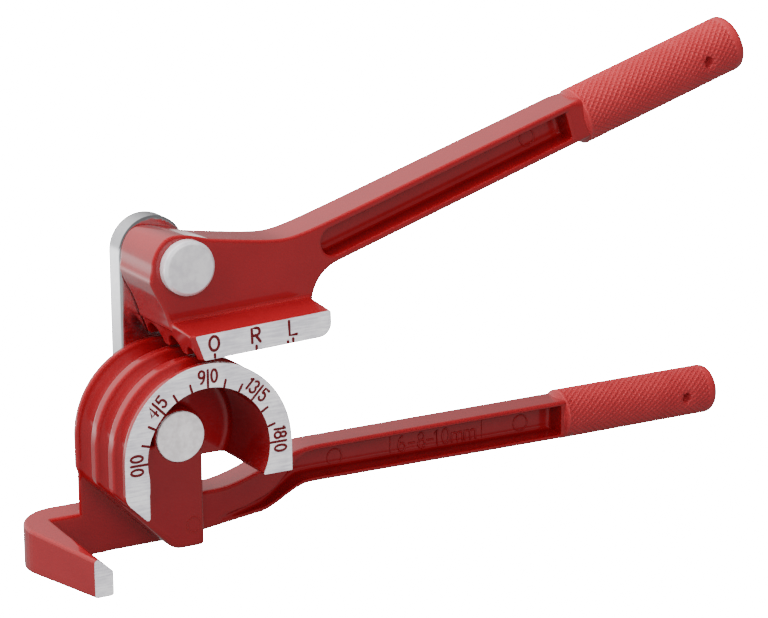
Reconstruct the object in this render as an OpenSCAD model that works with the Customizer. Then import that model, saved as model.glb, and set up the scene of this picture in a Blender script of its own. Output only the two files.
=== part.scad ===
// Lever bender for soft small-bore tube, with three grooves and two handles.
// Millimetres. X runs along the lower handle, Y runs back from the graduated
// face, Z is up. The base plane is Z = 0, the bend axis is parallel to Y above
// the origin, and Y = 0 is the middle of the lower handle's thickness.
// The model rests with the link upright, at the reading of 90 degrees.

/* [Former] */
// Radius of the former over its lands
former_r = 28; // [26:0.5:30]
// Radius of the hollow behind the graduated ring
cup_r = 20.5; // [18:0.5:21]
// Depth of that hollow from the graduated face
cup_depth = 27.8; // [26:0.2:29]
// Depth of the former, from the graduated face to its back
former_depth = 36; // [36:0.2:40]
// Height of the bend axis above the base
axis_h = 39; // [39:0.5:42]
// How far the short leg of the ring reaches below the bend axis
short_leg = 9.8; // [8:0.2:11]
// How far the long leg's outer side reaches below the bend axis
long_leg = 11; // [10:0.5:11]
// Width of the long leg across its flat face
long_leg_w = 8; // [7:0.25:9]

/* [Tube grooves] */
// Outer diameters of the three tubes, front groove first
tube_d = [6, 8, 10];
// Radial clearance round a tube in its groove
tube_clear = 0.1; // [0.05:0.05:0.2]
// Flat land between the graduated face and the first groove
front_land = 2.3; // [1.8:0.1:2.4]
// Flat land between two grooves
mid_land = 4.1; // [3.6:0.1:4.2]
// Bevel on the lips of each groove
lip = 0.4; // [0.2:0.1:0.5]

/* [Hub post] */
// Depth of the post's face behind the graduated face
post_depth = 20.7; // [19:0.1:22]
// Half width of the post on the handle's side
post_half = 7.7; // [7:0.1:8.5]
// Radius of the hub round the lower pin
hub_r = 8.6; // [8.2:0.1:9.5]
// Height of the post's foot above the base
post_foot = 2.3; // [0.5:0.1:2.5]
// Radius between the post's foot and the slanted underside
foot_r = 6; // [4:0.5:7]
// Drop from the bend axis to the shoulder that joins hub and long leg
shoulder = 2; // [1:0.5:4]

/* [Hook] */
// Height of the hook above the base
hook_h = 14; // [12:0.5:15]
// Height of the hook's tip above the base
hook_tip_h = 12; // [10:0.5:12]
// Width of the machined tip face
hook_tip_w = 6.1; // [5:0.1:7]
// Gap between the former's long leg and the inside of the tip
hook_gap = 4.8; // [4:0.1:6]
// Width of the bay behind the tip
hook_bay = 9; // [8.5:0.25:10]
// Inward lean of the hook's inner wall, in degrees
hook_lean = 11; // [8:0.1:11]
// Inward lean of the hook's outer wall, in degrees
hook_lean_out = 14; // [11:0.5:15]
// Thickness of the rear arm, front to back
hook_back_t = 10.6; // [9:0.2:12]
// Radius of the hook's outer rear corner
hook_corner_r = 14; // [10:0.5:15]
// Slope of the bevel on the tip's inner edge, in degrees
hook_bevel = 41; // [35:1:45]

/* [Lower handle] */
// Thickness of the handle bar and of the plate behind the former
bar_t = 12.4; // [12:0.2:14]
// Height of the bar just past the bend
bar_h = 12.2; // [11:0.1:13]
// Growth of the bar's height towards the grip
bar_taper = 0.9; // [0:0.1:1]
// Height of the grip's centre line above the base
grip_z = 16.6; // [15.5:0.1:17]
// Distance from the bend axis to the end of the handle
handle_len = 213; // [190:1:240]
// Diameter of the lower grip
grip_d = 16.8; // [16:0.1:18]
// Length of the round grip
grip_len = 56; // [50:1:62]

/* [Handle recess] */
// Depth of the recess in each handle's face
recess_depth = 7.3; // [5:0.1:8]
// Rim left above and below the lower handle's recess
recess_rim = 1.5; // [1.2:0.1:2]
// Diameter of the hanging hole through each grip
hang_d = 3.6; // [3:0.1:5]
// Distance from the hanging hole to the grip's end
hang_inset = 13; // [10:0.5:16]

/* [Shoe and upper handle] */
// Distance between the bend axis and the upper pin
pin_pitch = 55; // [55:0.2:57]
// Distance from the upper pin to the shoe's lands
shoe_drop = 25.9; // [25.5:0.1:26]
// Height of the shoe's machined front face
shoe_h = 7.9; // [7:0.1:9]
// Length of the shoe beyond the upper pin
shoe_len = 41.4; // [38:0.2:46]
// Depth of the shoe, front to back
shoe_depth = 35.6; // [35.6:0.1:35.8]
// Turn of the shoe at rest from square to the link, in degrees
rest_turn = 2.4; // [0:0.2:3]
// Radius of the boss round the upper pin
boss_r = 11; // [9:0.1:11]
// Depth of the web's face behind the shoe's front face
web_depth = 13.4; // [12:0.1:14]
// Thickness of the web and of the upper handle bar
web_t = 15; // [13:0.5:16]
// Angle between the upper handle and the shoe, in degrees
handle_angle = 15; // [13:0.5:17]
// Distance of the upper bar's centre line below the upper pin
handle_drop = 14; // [13.5:0.1:14.5]
// Distance of the upper grip's centre line below the upper pin
grip_drop = 14.9; // [14:0.1:15]
// Height of the upper handle bar
upper_bar_h = 13.2; // [12.5:0.1:14]
// Distance from the upper pin to the end of the handle
upper_len = 209.5; // [190:0.5:235]
// Diameter of the upper grip
upper_grip_d = 18.9; // [17:0.1:20]
// Radius of the web's fillet under the handle
web_fillet_r = 13; // [11:0.5:14]

/* [Link and pins] */
// Half width of the link
link_r = 11.2; // [10.5:0.1:11.2]
// Thickness of the link
link_t = 8; // [6:0.2:8]
// Gap between the castings and the link
link_gap = 0.4; // [0.3:0.1:0.6]
// Diameter of both pins' shanks
shank_d = 10; // [8:0.2:11]
// Radial running clearance round the shanks
run_clear = 0.05; // [0.02:0.01:0.08]
// Diameter of the lower pin's flat head
low_head_d = 16; // [15:0.2:17]
// Thickness of the lower pin's head
low_head_t = 1.2; // [0.8:0.1:2]
// Diameter of the upper pin's head
up_head_d = 17; // [16:0.2:18]
// Height of the upper pin's head
up_head_t = 3.8; // [3:0.1:4.5]
// Outer diameter of the washers
washer_d = 17; // [15:0.2:18]
// Thickness of the washers
washer_t = 1; // [0.6:0.1:1.2]
// Outer diameter of the retaining rings
ring_d = 14.6; // [14:0.2:16]
// Thickness of the retaining rings
ring_t = 1; // [0.8:0.1:1.1]

/* [Hidden] */
$fn = 96;
red = [0.62, 0.10, 0.12];
zinc = [0.82, 0.83, 0.86];
steel = [0.70, 0.69, 0.70];

// Overrun of every cut past the face it leaves
over = 1;
// Axial play at the pins' washers and rings
end_play = 0.05;
// Points along each half of the bend in the lower handle
bend_steps = 12;

// Planes of the model, front to back
front_y = -bar_t / 2 - former_depth;
plate_y = -bar_t / 2;
post_y = front_y + post_depth;
cup_y = front_y + cup_depth;
web_y = front_y + web_depth;
link_y = plate_y + link_gap;
link_back = link_y + link_t;

// The slanted underside of the former starts at the long leg's outer corner
// and falls at 45 degrees
slant_sum = former_r + long_leg;
// Where the short leg's inner edge leaves the round of the hollow
ring_foot_x = sqrt(pow(cup_r, 2) - pow(short_leg, 2));

// Clearance between the link's swing and the plate behind the former
swing_gap = 0.8;
plate_top = axis_h - link_r - swing_gap;

// The lower handle leaves the former low, and bends up to the grip's height
low_top = 14;
plate_left = -20;
low_run = 14.5;
low_flat = 19;
bend_end = 56;
heel_run = 6;
heel_rise = 3.3;
heel_end = 34;
toe_end = 54;
neck_len = 6.5;
bar_end = handle_len - grip_len;
recess_end = bar_end - neck_len - over;
bar_bottom = grip_z - bar_h / 2;
bar_top = grip_z + bar_h / 2;

// The recess's tail runs along the bottom rim as a narrowing slot
tail_start = 20.5;
ramp_len = 30;
tail_rim = 1.6;
// Stations of the recess's upper edge, as shares of the way from the tail's
// start to the bend's end, with shares of the height up to the top rim
tail_x_shares = [0, 0.03, 0.26, 0.46, 0.565, 0.68, 0.79, 0.88, 1];
tail_h_shares = [0.10, 0.17, 0.21, 0.32, 0.38, 0.58, 0.84, 0.97, 1];

// The hook's tip and its outer wall, in plan
hook_in = -former_r - hook_gap;
hook_out = hook_in - hook_tip_w;
hook_bay_x = -former_r - hook_bay;
hook_bay_y = front_y + (hook_bay - hook_gap) / tan(hook_lean);
hook_back = plate_y + hook_back_t;
hook_arc_y = hook_back - hook_corner_r;
hook_arc_x = hook_out - (hook_arc_y - front_y) * tan(hook_lean_out)
    + hook_corner_r / cos(hook_lean_out);
hook_slope = atan((hook_h - hook_tip_h) / former_depth);
// Flat left on top of the tip, outside its bevel
hook_tip_flat = 1.3;

// The upper casting is drawn about its pin, with the shoe level
shoe_top = -shoe_drop + shoe_h;
shoe_rise = 1.3;
flank_foot = 3.3;
flank_lean = 18;
shoe_corner_r = 4.2;
web_end = shoe_len + over;
// The boss's top falls to the right and to the back
boss_top = 10;
boss_fall = 15.6;
boss_draft = 4;
flank_w = 7;
// The web's top edge falls from this height at the pin, and then bends up
// into the handle with this sag left between the two lines
web_crest = 8.7;
web_fall = 0.205;
web_sag = 1.4;
web_steps = 24;
web_top_end = 64;
upper_recess_start = 44.6;
upper_recess_end = 139.2;
upper_recess_top = 2.1;
upper_recess_bottom = 2.2;
upper_recess_r = 4.2;
upper_bar_end = 149.5;
upper_hang_inset = 14.8;
upper_grip_len = 62;

// Round ends of the grips
grip_end_r = 2.4;
grip_shoulder = 3;
// Bevels on the pins and the retaining rings' slots
pin_bevel = 0.6;
groove_depth = 0.7;
lug_w = 3.2;
ring_relief = 0.7;
ring_mouth = 8.4;
tail_len = 1.1;

// Radii and centres of the three grooves, measured back from the front face
groove_r = [for (d = tube_d) d / 2 + tube_clear];
groove_y = [for (i = [0:len(tube_d) - 1]) front_land + groove_r[i]
    + (i > 0 ? mid_land + 2 * groove_r[0] : 0)
    + (i > 1 ? mid_land + 2 * groove_r[1] : 0)];

function ease(t) = let (c = min(max(t, 0), 1)) c * c * (3 - 2 * c);
function blend(a, b, t) = a + (b - a) * ease(t);
// Upper and lower outline of the lower handle at a distance x from the axis
function top_at(x) = blend(low_top, bar_top, (x - low_flat) / (bend_end - low_flat));
function bottom_at(x) = x > toe_end
    ? bar_bottom - bar_taper * (x - toe_end) / (bar_end - toe_end)
    : x > heel_end ? blend(heel_rise, bar_bottom, (x - heel_end) / (toe_end - heel_end))
    : heel_rise * max(x - heel_run, 0) / (heel_end - heel_run);
function spread(a, b, n) = [for (i = [0:n]) a + (b - a) * i / n];

// Extrudes an outline in X and Z from y0 back to y1
module slab(y0, y1) {
    translate([0, y1, 0]) rotate([90, 0, 0]) linear_extrude(y1 - y0) children();
}

// A cylinder along Y between two planes
module rod(r, y0, y1) {
    translate([0, y0, 0]) rotate([-90, 0, 0]) cylinder(r = r, h = y1 - y0);
}

// Section of a groove: X is the way out of it, Y runs along the axis
module groove_section(r) {
    circle(r);
    polygon([[-lip, -r], [0, -r - lip], [over, -r - lip],
        [over, r + lip], [0, r + lip], [-lip, r]]);
}

// A groove round the top of the former and straight down both of its sides
module former_groove(i) {
    translate([0, front_y + groove_y[i], axis_h]) {
        rotate([90, 0, 0]) rotate_extrude(angle = 180)
            translate([former_r, 0]) groove_section(groove_r[i]);
        for (side = [0, 1]) mirror([side, 0, 0])
            translate([former_r, 0, -long_leg - groove_r[i] - over])
                linear_extrude(long_leg + groove_r[i] + over)
                    groove_section(groove_r[i]);
    }
}

// Outline of the former: a half round top with a side leg at each end
module former_outline() {
    translate([0, axis_h]) {
        intersection() {
            circle(former_r);
            translate([-former_r, 0]) square([2 * former_r, former_r]);
        }
        translate([-former_r, -short_leg]) square([2 * former_r, short_leg]);
        translate([-former_r, -former_r]) square([long_leg_w, former_r]);
    }
}

// What the slanted underside and the post's foot leave free
module under_cut() {
    foot_z = post_foot + foot_r;
    foot_x = foot_r * sqrt(2) + axis_h - slant_sum - foot_z;
    slab(front_y - over, plate_y) polygon(concat(
        [[-former_r - over, former_r + over + axis_h - slant_sum]],
        [for (a = spread(225, 270, bend_steps))
            [foot_x + foot_r * cos(a), foot_z + foot_r * sin(a)]],
        [[post_half + over, post_foot], [post_half + over, -over],
            [-former_r - over, -over]]));
}

// The hollow of the ring, open towards the base in front of the hub
module cup_outline() {
    inner = long_leg_w - former_r;
    translate([0, axis_h]) {
        circle(cup_r);
        translate([inner, -slant_sum]) square([-inner, slant_sum]);
        translate([0, -slant_sum]) square([ring_foot_x, slant_sum]);
    }
}

// The hub post: a round hub, with a thick web down to the base, which starts
// at the given left side
module post_outline(left) {
    translate([0, axis_h]) {
        circle(hub_r);
        polygon([[left, -shoulder], [left, -axis_h],
            [post_half, -axis_h], [post_half, 0], [-hub_r / 2, 0],
            [-hub_r, -shoulder]]);
    }
}

// The plate behind the former, and the bar of the lower handle
module handle_outline() {
    bend_x = spread(low_flat, bend_end, bend_steps);
    toe_x = spread(heel_end, toe_end, bend_steps);
    polygon(concat(
        [[plate_left, 0], [plate_left, plate_top], [post_half, plate_top],
            [low_run, low_top]],
        [for (x = bend_x) [x, top_at(x)]],
        [[bar_end, bar_top], [bar_end, bottom_at(bar_end)]],
        [for (i = [bend_steps:-1:0]) [toe_x[i], bottom_at(toe_x[i])]],
        [[heel_run, 0]]));
}

// Outline of the recess, which tapers to a narrow tail along the lower rim
module recess_outline() {
    xs = [for (s = tail_x_shares) tail_start + s * (bend_end - tail_start)];
    rims = [for (s = tail_x_shares) tail_rim + s * (recess_rim - tail_rim)];
    low = [for (i = [0:len(xs) - 1]) [xs[i], bottom_at(xs[i]) + rims[i]]];
    high = [for (i = [0:len(xs) - 1]) let (top = top_at(xs[i]) - recess_rim)
        [xs[i], low[i][1] + tail_h_shares[i] * (top - low[i][1])]];
    polygon(concat(low, [[recess_end, bottom_at(recess_end) + recess_rim],
        [recess_end, bar_top - recess_rim]],
        [for (i = [len(xs) - 1:-1:0]) high[i]]));
}

// The recess, with a floor that ramps down along its tail
module lower_recess() {
    intersection() {
        slab(plate_y - over, plate_y + recess_depth) recess_outline();
        linear_extrude(axis_h) polygon([[tail_start - over, plate_y - 2 * over],
            [tail_start - over, plate_y], [tail_start + ramp_len, plate_y + recess_depth],
            [tail_start + ramp_len, plate_y + recess_depth + over],
            [bar_end, plate_y + recess_depth + over], [bar_end, plate_y - 2 * over]]);
    }
}

// The hook in plan, from the plate round to its tip. The plate's left end
// stands behind it with a slanted side
module hook_plan() {
    polygon(concat(
        [[plate_left + over, plate_y], [hook_bay_x, plate_y],
            [hook_bay_x, hook_bay_y], [hook_in, front_y], [hook_out, front_y]],
        [for (a = spread(180 + hook_lean_out, 90, bend_steps))
            [hook_arc_x + hook_corner_r * cos(a), hook_arc_y + hook_corner_r * sin(a)]],
        [[plate_left + over, hook_back]]));
}

// Cuts the hook's top to its fall towards the tip, with the tip's bevel
module hook_top_cut() {
    reach = slant_sum;
    translate([hook_out, front_y, hook_tip_h]) rotate([hook_slope, 0, 0]) {
        translate([-reach, -over, 0]) cube([reach + hook_bay, former_depth + over, hook_h]);
        translate([hook_tip_flat, -over, 0]) rotate([0, hook_bevel, 0])
            cube([hook_h, former_depth + over, hook_h]);
    }
}

// The plate's slanted left side, drawn on to the given distance inside it
module plate_side(inside) {
    linear_extrude(plate_top) polygon([[-former_r, plate_y], [plate_left, -plate_y],
        [plate_left + inside, -plate_y], [plate_left + inside, plate_y]]);
}

// A round grip along X from 0, with a sloped shoulder and a rounded end
module grip(d, l) {
    rotate([0, 90, 0]) rotate_extrude() union() {
        polygon([[0, 0], [d / 2 - grip_shoulder / 2, 0], [d / 2, grip_shoulder],
            [d / 2, l - grip_end_r], [0, l - grip_end_r]]);
        translate([0, l - grip_end_r]) square([d / 2 - grip_end_r, grip_end_r]);
        intersection() {
            translate([d / 2 - grip_end_r, l - grip_end_r]) circle(grip_end_r);
            translate([d / 2 - grip_end_r, l - grip_end_r]) square(grip_end_r);
        }
    }
}

module hang_hole(d) {
    rotate([90, 0, 0]) cylinder(d = hang_d, h = d + 2 * over, center = true);
}

module former_grooves() {
    for (i = [0:len(tube_d) - 1]) former_groove(i);
}

module hub_bore() {
    translate([0, 0, axis_h]) rod(shank_d / 2 + run_clear, post_y - over, over);
}

// The lower casting is one piece. It is drawn as five solids that meet on
// shared planes: the ring, the disc behind it, the hub post, hook and handle
module former_ring() {
    color(red) difference() {
        slab(front_y, cup_y) difference() {
            former_outline();
            cup_outline();
        }
        under_cut();
        former_grooves();
    }
}

module former_back() {
    color(red) difference() {
        slab(cup_y, plate_y) {
            former_outline();
            post_outline(-former_r);
        }
        under_cut();
        former_grooves();
        hub_bore();
    }
}

module hub_post() {
    color(red) difference() {
        slab(post_y, cup_y) post_outline(long_leg_w - former_r);
        under_cut();
        hub_bore();
    }
}

module base_hook() {
    color(red) difference() {
        linear_extrude(hook_h) hook_plan();
        hook_top_cut();
        plate_side(2 * over);
    }
}

module lower_handle() {
    color(red) difference() {
        union() {
            slab(plate_y, -plate_y) handle_outline();
            plate_side(over);
            translate([bar_end - neck_len, 0, grip_z])
                grip(grip_d, grip_len + neck_len);
        }
        lower_recess();
        translate([handle_len - hang_inset, 0, grip_z]) hang_hole(grip_d);
    }
}

// Turns the upper casting about its pin, from the level shoe to its rest
module at_upper_pin() {
    translate([0, 0, axis_h + pin_pitch]) rotate([0, -rest_turn, 0]) children();
}

// Height of the web's top edge at a distance u from the pin
function web_top_at(u) =
    let (rise = u * tan(handle_angle)
            - (handle_drop - upper_bar_h / 2) / cos(handle_angle),
        fall = web_crest - web_fall * u)
    (rise + fall) / 2 + sqrt(pow((rise - fall) / 2, 2) + pow(web_sag, 2));

// Left flank of boss and shoe, from the boss's tangent to the shoe's top
module flank_outline(w) {
    foot = -flank_foot - (shoe_drop + shoe_top) * tan(flank_lean);
    side = -boss_r * cos(flank_lean);
    polygon([[side, -boss_r * sin(flank_lean)], [foot, shoe_top],
        [foot + w, shoe_top], [side + w, -boss_r * sin(flank_lean)]]);
}

// The round boss, with its sloping top
module boss() {
    difference() {
        rod(boss_r, web_y, plate_y);
        translate([0, web_y, boss_top]) rotate([-boss_draft, 0, 0])
            rotate([0, boss_fall, 0]) translate([-2 * boss_r, -boss_r, 0])
                cube([4 * boss_r, former_r + boss_r, boss_r]);
    }
}

// Outline of the web between boss, shoe and handle, with its hollow right edge
module web_outline() {
    corner_w = (web_end * sin(handle_angle) - handle_drop - upper_bar_h / 2)
        / cos(handle_angle);
    fillet_w = corner_w - web_fillet_r * (1 - sin(handle_angle)) / cos(handle_angle);
    flank_outline(flank_w);
    difference() {
        union() {
            polygon(concat([[-flank_foot, shoe_top], [-flank_foot, 0]],
                [for (u = spread(0, web_top_end, web_steps)) [u, web_top_at(u)]],
                [[web_top_end, 0],
                    [web_end + web_fillet_r * (1 - sin(handle_angle)),
                        fillet_w + web_fillet_r * cos(handle_angle)],
                    [web_end + web_fillet_r, fillet_w], [web_end, fillet_w],
                    [web_end, shoe_top]]));
            rotate(handle_angle) translate([web_end, -handle_drop - upper_bar_h / 2])
                square([upper_bar_end - web_end, upper_bar_h]);
        }
        translate([web_end + web_fillet_r, fillet_w]) circle(web_fillet_r);
    }
}

// Side outline of the shoe, rounded at the foot of its far end
module shoe_outline() {
    foot = -flank_foot - (shoe_drop + shoe_top) * tan(flank_lean);
    polygon([[foot, shoe_top], [-flank_foot, -shoe_drop],
        [shoe_len - shoe_corner_r, -shoe_drop],
        [shoe_len - shoe_corner_r, -shoe_drop + shoe_corner_r],
        [shoe_len, -shoe_drop + shoe_corner_r], [shoe_len, shoe_top]]);
    translate([shoe_len - shoe_corner_r, -shoe_drop + shoe_corner_r])
        circle(shoe_corner_r);
}

// The shoe's top slopes up to the web from both sides
module shoe_top_rise() {
    foot = -flank_foot - (shoe_drop + shoe_top) * tan(flank_lean);
    translate([foot, 0, shoe_top]) rotate([90, 0, 90])
        linear_extrude(shoe_len - foot)
            polygon([[front_y, 0], [web_y, shoe_rise], [web_y + web_t, shoe_rise],
                [front_y + shoe_depth, 0]]);
}

module upper_recess() {
    low = -handle_drop - upper_bar_h / 2 + upper_recess_bottom;
    high = -handle_drop + upper_bar_h / 2 - upper_recess_top;
    r = upper_recess_r;
    translate([upper_recess_start + r, low])
        square([upper_recess_end - upper_recess_start - r, high - low]);
    translate([upper_recess_start, low + r]) square([2 * r, high - low - 2 * r]);
    for (w = [low + r, high - r]) translate([upper_recess_start + r, w]) circle(r);
}

module shoe_groove(i) {
    translate([-over - former_r, front_y + groove_y[i], -shoe_drop])
        rotate([0, 90, 0]) linear_extrude(former_r + shoe_len + 2 * over)
            groove_section(groove_r[i]);
}

module shoe_handle() {
    grip_y = web_y + web_t / 2;
    color(red) at_upper_pin() difference() {
        union() {
            slab(web_y, web_y + web_t) web_outline();
            boss();
            slab(web_y, front_y + shoe_depth) flank_outline(flank_w);
            slab(front_y, front_y + shoe_depth) shoe_outline();
            shoe_top_rise();
            rotate([0, -handle_angle, 0])
                translate([upper_len - upper_grip_len, grip_y, -grip_drop])
                    grip(upper_grip_d, upper_grip_len);
        }
        for (i = [0:len(tube_d) - 1]) shoe_groove(i);
        rod(shank_d / 2 + run_clear, web_y - over, plate_y + over);
        rotate([0, -handle_angle, 0]) {
            slab(web_y - over, web_y + recess_depth) upper_recess();
            translate([upper_len - upper_hang_inset, grip_y, -grip_drop])
                hang_hole(upper_grip_d);
        }
    }
}

// A flat steel bar with round ends, bored for both pins
module link_plate() {
    color(zinc) translate([0, 0, axis_h]) difference() {
        union() {
            rod(link_r, link_y, link_back);
            translate([0, 0, pin_pitch]) rod(link_r, link_y, link_back);
            translate([-link_r, link_y, 0]) cube([2 * link_r, link_t, pin_pitch]);
        }
        for (z = [0, pin_pitch]) translate([0, 0, z])
            rod(shank_d / 2 + run_clear, link_y - over, link_back + over);
    }
}

washer_y = link_back + end_play;
ring_y = washer_y + washer_t + end_play;
pin_end = ring_y + ring_t + end_play + tail_len;

// A headed pin along Y, with the retaining ring's slot near its tail
module pin(head_d, head_t, seat_y) {
    translate([0, seat_y - head_t, 0]) rotate([-90, 0, 0]) {
        cylinder(d1 = head_d - 2 * pin_bevel, d2 = head_d, h = pin_bevel);
        translate([0, 0, pin_bevel]) cylinder(d = head_d, h = head_t - pin_bevel);
    }
    difference() {
        union() {
            rod(shank_d / 2, seat_y - pin_bevel, pin_end - pin_bevel);
            translate([0, pin_end - pin_bevel, 0]) rotate([-90, 0, 0])
                cylinder(d1 = shank_d, d2 = shank_d - 2 * pin_bevel, h = pin_bevel);
        }
        difference() {
            rod(shank_d / 2 + over, ring_y - end_play, ring_y + ring_t + end_play);
            rod(shank_d / 2 - groove_depth, ring_y - over, ring_y + ring_t + over);
        }
    }
}

module washer() {
    difference() {
        rod(washer_d / 2, washer_y, washer_y + washer_t);
        rod(shank_d / 2 + run_clear, washer_y - over, washer_y + washer_t + over);
    }
}

// A three-lugged retaining ring that snaps into the pin's slot from below
module ring() {
    slab(ring_y, ring_y + ring_t) difference() {
        union() {
            difference() {
                circle(d = ring_d);
                circle(shank_d / 2 + ring_relief);
            }
            for (a = [-15, 90, 195]) rotate(a) translate([shank_d / 2 - groove_depth, -lug_w / 2])
                square([groove_depth + ring_relief + lip, lug_w]);
        }
        circle(shank_d / 2 - groove_depth + run_clear);
        translate([-ring_mouth / 2, -ring_d]) square([ring_mouth, ring_d - lug_w / 2]);
    }
}

module at_lower() {
    translate([0, 0, axis_h]) children();
}

module lower_pin() {
    color(steel) at_lower() pin(low_head_d, low_head_t, post_y);
}

module upper_pin() {
    color(zinc) at_upper_pin() pin(up_head_d, up_head_t, web_y);
}

module lower_washer() {
    color(zinc) at_lower() washer();
}

module upper_washer() {
    color(zinc) at_upper_pin() washer();
}

module lower_ring() {
    color(steel) at_lower() ring();
}

module upper_ring() {
    color(steel) at_upper_pin() ring();
}

former_ring();
former_back();
hub_post();
base_hook();
lower_handle();
shoe_handle();
link_plate();
lower_pin();
upper_pin();
lower_washer();
upper_washer();
lower_ring();
upper_ring();
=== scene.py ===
import bmesh
import bpy
import numpy as np
from mathutils import Matrix, Vector


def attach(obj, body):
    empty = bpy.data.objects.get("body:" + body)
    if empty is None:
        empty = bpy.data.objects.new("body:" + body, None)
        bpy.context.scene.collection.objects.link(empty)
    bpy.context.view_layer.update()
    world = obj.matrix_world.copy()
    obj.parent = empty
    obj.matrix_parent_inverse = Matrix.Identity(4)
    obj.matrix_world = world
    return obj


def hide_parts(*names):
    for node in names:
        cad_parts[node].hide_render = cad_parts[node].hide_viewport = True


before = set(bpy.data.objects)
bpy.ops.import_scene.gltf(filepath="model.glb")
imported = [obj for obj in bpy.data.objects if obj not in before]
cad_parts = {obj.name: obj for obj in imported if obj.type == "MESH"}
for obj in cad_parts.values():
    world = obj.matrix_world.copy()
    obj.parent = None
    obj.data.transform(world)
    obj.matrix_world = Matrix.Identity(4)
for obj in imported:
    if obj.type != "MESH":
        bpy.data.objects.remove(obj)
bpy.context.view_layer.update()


# The lower casting: a grooved former with its hub post, hook, back plate and
# handle bar, die-cast in aluminium as one piece and enamelled red. The dial
# face and the hook's tip are milled bare after painting. All sizes are in mm.
MM = 0.001

# Former, cup and post. STOCK is cut away in front of the milled face, and LAP
# is how far the head runs into the plate. The grooves are (depth in Y, radius).
AXIS_Z, BORE_R = 39.0, 5.05
FACE_Y, CUP_Y, POST_Y, PLATE_Y = -42.2, -14.4, -21.5, -6.2
FORMER_R, CUP_R, HUB_R = 28.0, 20.5, 8.6
LEG_X, LEG_Z, SHORT_LEG_X, SHORT_LEG_Z = -20.0, 11.0, 18.0, 29.2
GROOVES = ((-36.8, 3.1), (-25.5, 4.1), (-12.2, 5.1))
POST_LEFT, POST_RIGHT, POST_LOW, SHOULDER_X, SHOULDER_Z = -20.5, 7.7, -8, -4, 37.0
FOOT_Z, FOOT_R, PLATE_TOP = 2.3, 6.0, 27.0
STOCK, LAP = 2, 1.5
EDGE_R, POST_EDGE, CUP_FILLET, POST_FILLET = 0.7, 0.8, 2.2, 1.4
GROOVE_RIM, UNDER_RIM, BORE_RIM = 0.9, 1.6, 0.5

# Handle bar and its recess. Each rise and run is (start, length) along X.
BAR_END, BAR_LOW, BAR_HIGH, BAR_NEAR, BAR_FALL = 157.0, 10.5, 22.7, 14, 0.9
TOP_RISE, LOW_RISE, HEEL, HEEL_RUN = (19, 37), (34, 20), 3.3, (6, 28)
LOWER_GRIP_Z, LOWER_GRIP_R = 16.6, 8.4
BAR_CORNER_R, BAR_CORNER_X, BAR_EDGE, CORNER_EDGE = 9.5, 150, 1.3, 0.8
CHAMFER_X, CHAMFER_Y, CHAMFER_LENGTH, CHAMFER_EDGE = 12.4, 8, 14.757, 1.5
RECESS_DEPTH, RECESS_END, RECESS_RIM, DRAFT = 7.3, 149.6, 1.5, 0.06
TAIL_X, TAIL_LENGTH, TAIL_RAMP, TAIL_RIM, TAIL_INSET = 20.5, 35.5, 30, 1.6, 0.05
RECESS_FILLET, RECESS_EDGE = 1.4, 0.8

# Hook: plan, falling top, and the bevel inside its arm.
HOOK_R, HOOK_BACK, HOOK_LEFT, HOOK_LEAN = 14.0, 4.4, -38.9, np.radians(14)
HOOK_TOP, HOOK_RISE, HOOK_REACH, HOOK_END = 12, 2, 36, -18
BEVEL_X, BEVEL_TURN, BEVEL_STOP = -37.6, np.radians(41), 0.3
HOOK_EDGE, BEVEL_EDGE, SOLE_EDGE, CASTING_FILLET = 1.2, 0.3, 0.9, 1.2


def smooth_min(a, b, k):
    """The lesser of two distances, less a quarter of k times the square of how
    close they are as a share of k, which rounds the corner between them."""
    near = np.clip(1 - np.abs(a - b) / k, 0, None)
    return np.minimum(a, b) - near * near * k / 4


def smooth_max(a, b, k):
    """The greater of two distances, rounded as smooth_min is."""
    return -smooth_min(-a, -b, k)


def ease(t):
    """Three t squared less two t cubed, with t held between 0 and 1."""
    t = np.clip(t, 0, 1)
    return t * t * (3 - 2 * t)


def outline(x, z, points):
    """Distance to a closed outline: the least distance to any of its sides,
    negative where a ray to the right crosses the outline an odd number of times."""
    a = np.asarray(points, float)
    e = np.roll(a, -1, 0) - a
    px, pz = x[..., None] - a[:, 0], z[..., None] - a[:, 1]
    t = np.clip((px * e[:, 0] + pz * e[:, 1]) / (e ** 2).sum(1), 0, 1)
    near = np.hypot(px - t * e[:, 0], pz - t * e[:, 1]).min(-1)
    straddles = (pz < 0) != (pz < e[:, 1])
    lean = e[:, 0] / np.where(e[:, 1] == 0, 1, e[:, 1])
    odd = (straddles & (px < pz * lean)).sum(-1) % 2
    return np.where(odd == 1, -near, near)


def slab(flat, v, low, high, r):
    """Distance to a flat outline thickened from low to high along v: the side
    and end distances joined as a quarter round of radius r on every rim."""
    side, end = flat + r, np.abs(v - (low + high) / 2) - (high - low) / 2 + r
    return (np.minimum(np.maximum(side, end), 0)
            + np.hypot(np.maximum(side, 0), np.maximum(end, 0)) - r)


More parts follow.
